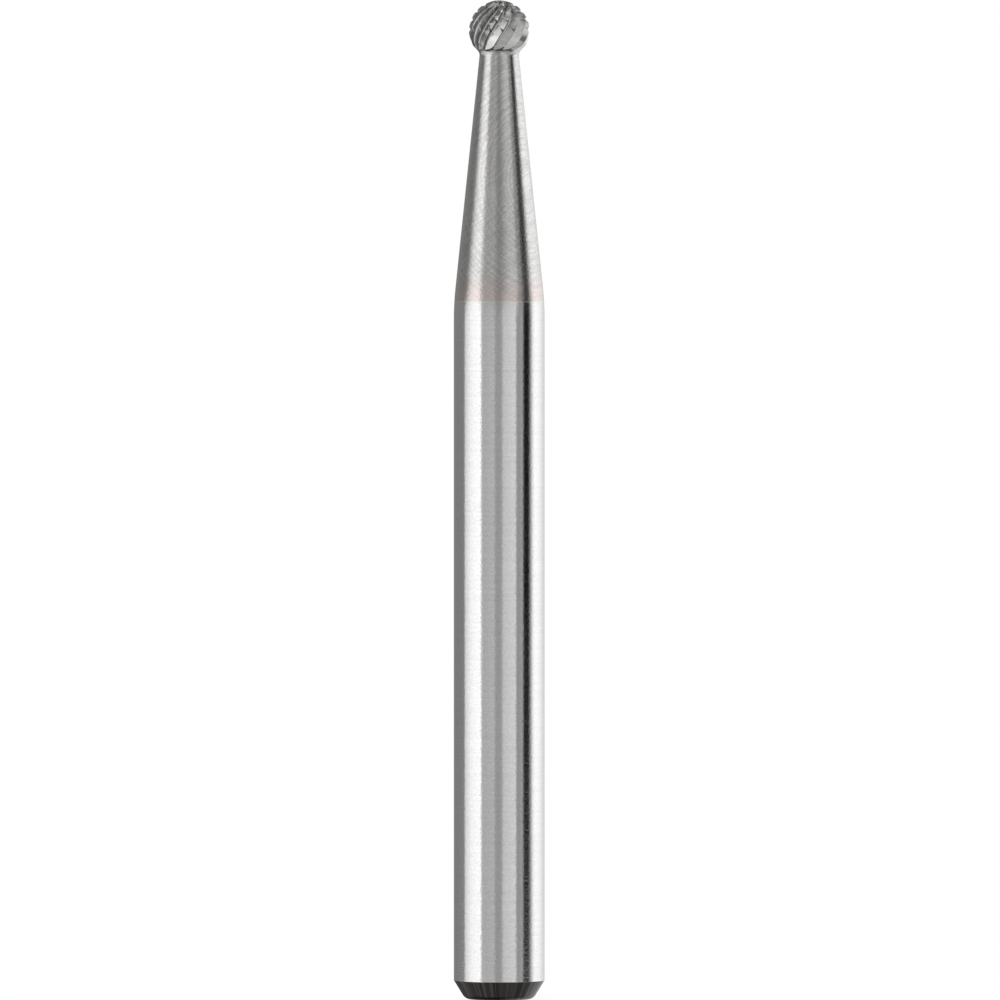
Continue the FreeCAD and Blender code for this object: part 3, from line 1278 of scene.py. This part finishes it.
@dataclass(frozen=True)
class BrazeFiller:
    """Silver braze filler, ground flush: a little yellower and softer than the metals.

    Attributes:
        colour: the bare filler.
        patch: the filler where it is a little darker.
        patches: where it is.
        roughness: how far its reflections spread.
        unevenness: how far that varies with the grain.
        grain: the fine marks of grinding.
        relief: their depth, in metres.
    """

    colour: Colour = (0.73, 0.7, 0.66)
    patch: Colour = (0.67, 0.65, 0.625)
    patches: Marks = Marks((1500.0, 1500.0, 1500.0), 2.0, edges=(0.35, 0.65))
    roughness: float = 0.24
    unevenness: float = 0.1
    grain: Marks = Marks((9000.0, 9000.0, 20000.0))
    relief: float = 2.0e-6

    def material(self) -> bpy.types.Material:
        """The finish as a material.

        Returns:
            The material.
        """
        material = bpy.data.materials.new("braze_filler")
        shader = Shader(material)
        place = shader.place()
        grain = self.grain.noise(place)
        share = self.patches.shown(self.patches.noise(place))
        shade = shader.tinted(share, self.colour, self.patch)
        roughness = self.roughness + grain.swing(self.unevenness)
        shader.finish(shade, roughness, grain, self.relief)
        return material


@dataclass(frozen=True)
class Belt:
    """A belt of cloths and flags that hangs all round the tool.

    Attributes:
        bottom: elevation of its lower edge.
        top: elevation of its upper edge.
        levels: azimuths and how bright it is there, in steps and slopes.
    """

    bottom: float
    top: float
    levels: tuple[Range, ...]


# From below to above: elevations of a belt's two edges, then azimuths and levels.
BELTS = (
    Belt(-90, -76, ((-180, 0.03), (180, 0.03))),
    Belt(-72, -50, (
        (-180, 0.03), (-140, 0.05), (-96, 0.08), (-84, 0.5), (-60, 0.6), (-30, 0.3),
        (-10, 0.32), (15, 0.48), (60, 0.4), (84, 0.35), (96, 0.06), (118, 0.06), (132, 0.5),
        (155, 0.6), (180, 0.05),
    )),
    Belt(-41, -8, (
        (-180, 0.12), (-140, 0.2), (-128, 0.62), (-104, 0.8), (-80, 1.2), (-50, 1.15),
        (-46, 0.66), (-30, 0.52), (-12, 0.48), (-8, 0.34), (5, 0.36), (10, 0.72), (43, 0.76),
        (46, 0.5), (85, 0.55), (100, 0.75), (120, 1.05), (160, 0.95), (180, 0.3),
    )),
    Belt(-5.4, 1, (
        (-180, 0.35), (-166, 0.26), (-99.5, 0.29), (-97.5, 0.93), (-75, 1.38), (-47.5, 1.6),
        (-46, 0.57), (-13, 0.67), (-9, 0.44), (6, 0.46), (10, 0.78), (43, 0.94), (44.5, 0.36),
        (53, 0.4), (58, 0.47), (63, 0.45), (64.5, 0), (80.5, 0), (88, 0.5), (96, 1.3),
        (104, 1.5), (118, 1.4), (132, 1.2), (146, 0.95), (164, 0.8), (180, 0.35),
    )),
    Belt(4.4, 5, (
        (-180, 0.33), (-98, 0.28), (-88, 1), (-70, 1.45), (-48, 1.5), (-46, 0.56), (-13, 0.6),
        (-8, 0.38), (5, 0.4), (10, 0.65), (43, 0.9), (47, 0.55), (53, 0.39), (62, 0.42),
        (66, 0.05), (81.5, 0.05), (88, 0.5), (96, 1.2), (104, 1.45), (150, 1.2), (180, 0.6),
    )),
    Belt(8.6, 12.6, (
        (-180, 0.3), (-120, 0.22), (-95, 0.22), (-86, 0.8), (-79, 1.25), (-66, 1.5), (-52, 1.4),
        (-50, 0.58), (-31, 0.52), (-20, 0.56), (-13, 0.51), (-8, 0.33), (3, 0.33), (9, 0.48),
        (17, 0.7), (44, 0.86), (50, 0.8), (52, 0.36), (64, 0.4), (66.5, 0.02), (84, 0),
        (89, 0.45), (95, 1.15), (108, 1.45), (156, 1.4), (180, 0.9),
    )),
    Belt(16, 50, (
        (-180, 0.2), (-150, 0.3), (-130, 0.75), (-98, 0.8), (-94, 1), (-52, 1), (-48, 0.42),
        (-15, 0.62), (0, 0.42), (12, 0.2), (20, 0.2), (24, 0.66), (55, 0.68), (58, 0.62),
        (76, 0.62), (80, 0.7), (95, 0.95), (112, 1), (125, 0.12), (180, 0.05),
    )),
    Belt(58, 76, (
        (-180, 0.05), (-150, 0.1), (-130, 0.8), (-96, 0.9), (-90, 0.15), (-66, 0.15),
        (-60, 0.75), (-10, 0.8), (8, 0.7), (13, 0.1), (30, 0.12), (36, 0.4), (55, 0.4),
        (60, 0.08), (95, 0.1), (100, 0.7), (112, 0.6), (118, 0.05), (180, 0.05),
    )),
    Belt(84, 90, ((-180, 0.15), (-20, 0.15), (0, 0.6), (20, 0.15), (180, 0.15))),
)


@dataclass(frozen=True)
class LightTent:
    """White cloths and grey flags hung round the tool, which only its metal reflects.

    Attributes:
        belts: the tent's belts, from below to above.
        radius: how far off they hang, in metres.
        centre: height of the tent's middle, in metres.
        step: azimuth from one column of its points to the next.
        rows: rows of its points.
        last_row: how far up the highest of them is, and how far down the lowest.
    """

    belts: tuple[Belt, ...] = BELTS
    radius: float = 0.5
    centre: float = 0.0165
    step: float = 0.5
    rows: int = 180
    last_row: float = 89.5

    def glow(self, azimuth: Array, elevation: Array) -> Array:
        """How bright the tent is: even up and down a belt, and fading from one to the next.

        Args:
            azimuth: azimuths, one row of them.
            elevation: elevations, one column of them.

        Returns:
            The levels, elevations by azimuths.
        """
        edges = np.array([edge for belt in self.belts for edge in (belt.bottom, belt.top)])
        levels = np.stack([np.interp(azimuth[0], *np.array(belt.levels).T) for belt in self.belts])
        levels = np.repeat(levels, 2, axis=0)
        below = np.clip(np.searchsorted(edges, elevation[:, 0]) - 1, 0, len(edges) - 2)
        share = (elevation - edges[below][:, None]) / (edges[below + 1] - edges[below])[:, None]
        return levels[below] + (levels[below + 1] - levels[below]) * share

    def build(self) -> bpy.types.Object:
        """The tent as a sphere whose glow is held point by point.

        A point at azimuth a and elevation e is radius times (cos e sin a, -cos e cos a,
        sin e) from the centre.

        Returns:
            The tent, which is part of the studio.
        """
        azimuth = np.arange(-180.0, 180.0, self.step)[None]
        elevation = np.linspace(self.last_row, -self.last_row, self.rows)[:, None]
        flat, rise = np.cos(np.radians(elevation)), np.sin(np.radians(elevation))
        size, middle = self.radius / MM, self.centre / MM
        rings = around_axis(size * flat, azimuth, middle + size * rise)
        mesh = Shell(rings, middle + size, middle - size).mesh("light_tent")
        glow = self.glow(azimuth, elevation)
        values = np.append(glow.ravel(), [glow[0].mean(), glow[-1].mean()])
        marks = mesh.attributes.new("glow", "FLOAT", "POINT")
        marks.data.foreach_set("value", values.astype(np.float32))
        tent = dressed("light_tent", mesh, self.cloth())
        for ray in ("camera", "diffuse", "shadow", "volume_scatter"):
            setattr(tent, f"visible_{ray}", False)
        return tent

    @staticmethod
    def cloth() -> bpy.types.Material:
        """Cloth that glows as each point of the tent says.

        Returns:
            The material.
        """
        material = bpy.data.materials.new("tent_cloth")
        material.cycles.emission_sampling = "NONE"
        shader = Shader(material)
        glow = shader.add("ShaderNodeAttribute", {"attribute_name": "glow"}, {}, "Fac")
        light = shader.add("ShaderNodeEmission", {}, {"Strength": glow})
        shader.node("ShaderNodeOutputMaterial", {}, {"Surface": light})
        return material


def aimed(name: str, data: bpy.types.ID, spot: Triple, aim: Triple) -> bpy.types.Object:
    """A lamp or a camera that stands at one point and looks at another.

    Args:
        name: name of the object.
        data: the lamp or camera.
        spot: where it stands, in metres.
        aim: what it looks at, in metres.

    Returns:
        The object, linked to the scene.
    """
    item = bpy.data.objects.new(name, data)
    item.location = spot
    item.rotation_euler = (Vector(aim) - Vector(spot)).to_track_quat("-Z", "Y").to_euler()
    bpy.context.scene.collection.objects.link(item)
    return item


@dataclass(frozen=True)
class Studio:
    """Pale floor, plain level light, and the camera in front of the tool.

    Attributes:
        blank: the tool, at whose middle the lamp and the camera aim.
        level: plain level of the light all round.
        lamp_level: power of the soft lamp that casts the shadow, in watts.
        lamp_size: its diameter, in metres.
        lamp_spot: where it hangs, in metres.
        floor_radius: how far the floor reaches, in metres.
        floor_top: its height, in millimetres: just below the tool.
        floor_thickness: its thickness, in millimetres.
        floor_step: azimuth from one of its corners to the next.
        papers: the two greys of its paper.
        patches: where they change.
        floor_glow: how strongly it glows where it is seen straight on.
        floor_share: how much of that glow shows beside the paper, which has the shadow.
        distance: from the camera to the tool's axis, in metres.
        camera_height: height of the camera, in metres.
        aside: how far right of the axis the camera stands and aims, in metres.
        lens: focal length in millimetres.
        film: width of the camera's film in millimetres.
        nearest: how near the camera sees, in metres.
    """

    blank: Blank
    level: float = 0.85
    lamp_level: float = 2.0
    lamp_size: float = 0.5
    lamp_spot: Triple = (-0.35, -0.45, 0.7)
    floor_radius: float = 3.0
    floor_top: float = -0.002
    floor_thickness: float = 1.0
    floor_step: float = 3.0
    papers: tuple[Colour, Colour] = ((0.9, 0.9, 0.9), (0.93, 0.93, 0.93))
    patches: Marks = Marks((6.0, 6.0, 6.0), 2.0)
    floor_glow: float = 1.03
    floor_share: float = 0.9
    distance: float = 0.73
    camera_height: float = 0.0376
    aside: float = 0.000026
    lens: float = 796.0
    film: float = 36.0
    nearest: float = 0.01

    @staticmethod
    def seen(shader: Shader) -> Wire:
        """What the camera sees straight on, in metal or through glass.

        Args:
            shader: the node tree that asks.

        Returns:
            1 for such a ray and 0 for any other.
        """
        rays = shader.node("ShaderNodeLightPath", {}, {}).outputs
        camera, glossy, through = (
            Wire(shader, rays[f"Is {ray} Ray"]) for ray in ("Camera", "Glossy", "Transmission")
        )
        total = camera + glossy + through
        return total.maths("MINIMUM", total, 1.0)

    def paper(self) -> bpy.types.Material:
        """Matt paper that is white where it is seen straight on, and keeps a shadow.

        Returns:
            The material.
        """
        material = bpy.data.materials.new("pale_floor")
        shader = Shader(material)
        grey = shader.tinted(self.patches.noise(shader.place()), *self.papers)
        matt = shader.add("ShaderNodeBsdfDiffuse", {}, {"Color": grey})
        sockets = {"Color": WHITE, "Strength": self.floor_glow}
        white = shader.add("ShaderNodeEmission", {}, sockets)
        share = self.seen(shader) * self.floor_share
        both = shader.add("ShaderNodeMixShader", {}, {0: share, 1: matt, 2: white})
        shader.node("ShaderNodeOutputMaterial", {}, {"Surface": both})
        return material

    def floor(self) -> None:
        """A disc of paper under the tool."""
        azimuth = np.arange(0.0, 360.0, self.floor_step)[None]
        bottom = self.floor_top - self.floor_thickness
        heights = np.array([[self.floor_top], [bottom]])
        rings = around_axis(np.array([[self.floor_radius / MM]]), azimuth, heights)
        mesh = Shell(rings, self.floor_top, bottom).mesh("floor")
        floor = dressed("floor", mesh, self.paper())
        floor.visible_glossy = False

    def world(self) -> None:
        """White seen straight on, by metal and through glass; the plain level elsewhere."""
        world = bpy.data.worlds.new("studio")
        bpy.context.scene.world = world
        shader = Shader(world)
        white = self.seen(shader) * (1.0 - self.level) + self.level
        sockets = {"Color": WHITE, "Strength": white}
        light = shader.add("ShaderNodeBackground", {}, sockets)
        shader.node("ShaderNodeOutputWorld", {}, {"Surface": light})
        world.cycles.sampling_method = "NONE"

    def lamp(self) -> None:
        """A broad soft lamp, up to the left of the camera, which no metal reflects."""
        data = bpy.data.lights.new("soft_lamp", "AREA")
        data.shape, data.size, data.energy = "DISK", self.lamp_size, self.lamp_level
        middle = (0.0, 0.0, self.blank.length * MM / 2.0)
        aimed("soft_lamp", data, self.lamp_spot, middle).visible_glossy = False

    def camera(self) -> None:
        """A long lens a little above the tip, aimed at the middle of the tool."""
        data = bpy.data.cameras.new("camera")
        data.lens, data.sensor_width, data.clip_start = self.lens, self.film, self.nearest
        spot = (self.aside, -self.distance, self.camera_height)
        middle = (self.aside, 0.0, self.blank.length * MM / 2.0)
        bpy.context.scene.camera = aimed("camera", data, spot, middle)

    def build(self) -> None:
        """Everything round the tool."""
        bpy.context.scene.view_settings.view_transform = "Standard"
        self.floor()
        self.world()
        self.lamp()
        self.camera()
        LightTent().build()


def main() -> None:
    """Builds the studio and the tool."""
    logging.basicConfig(level=logging.INFO, format="%(name)s: %(message)s")
    blank = Blank.from_frame()
    Studio(blank).build()
    pieces = [
        Shank(blank, GroundSteel(blank)),
        BrazeRing(blank, BrazeFiller()),
        BurrHead(blank, GroundCarbide(blank)),
    ]
    for piece in pieces:
        made = piece.build()
        log.info("%s: %d triangles", made.name, len(made.data.polygons))


if __name__ == "__main__":
    main()
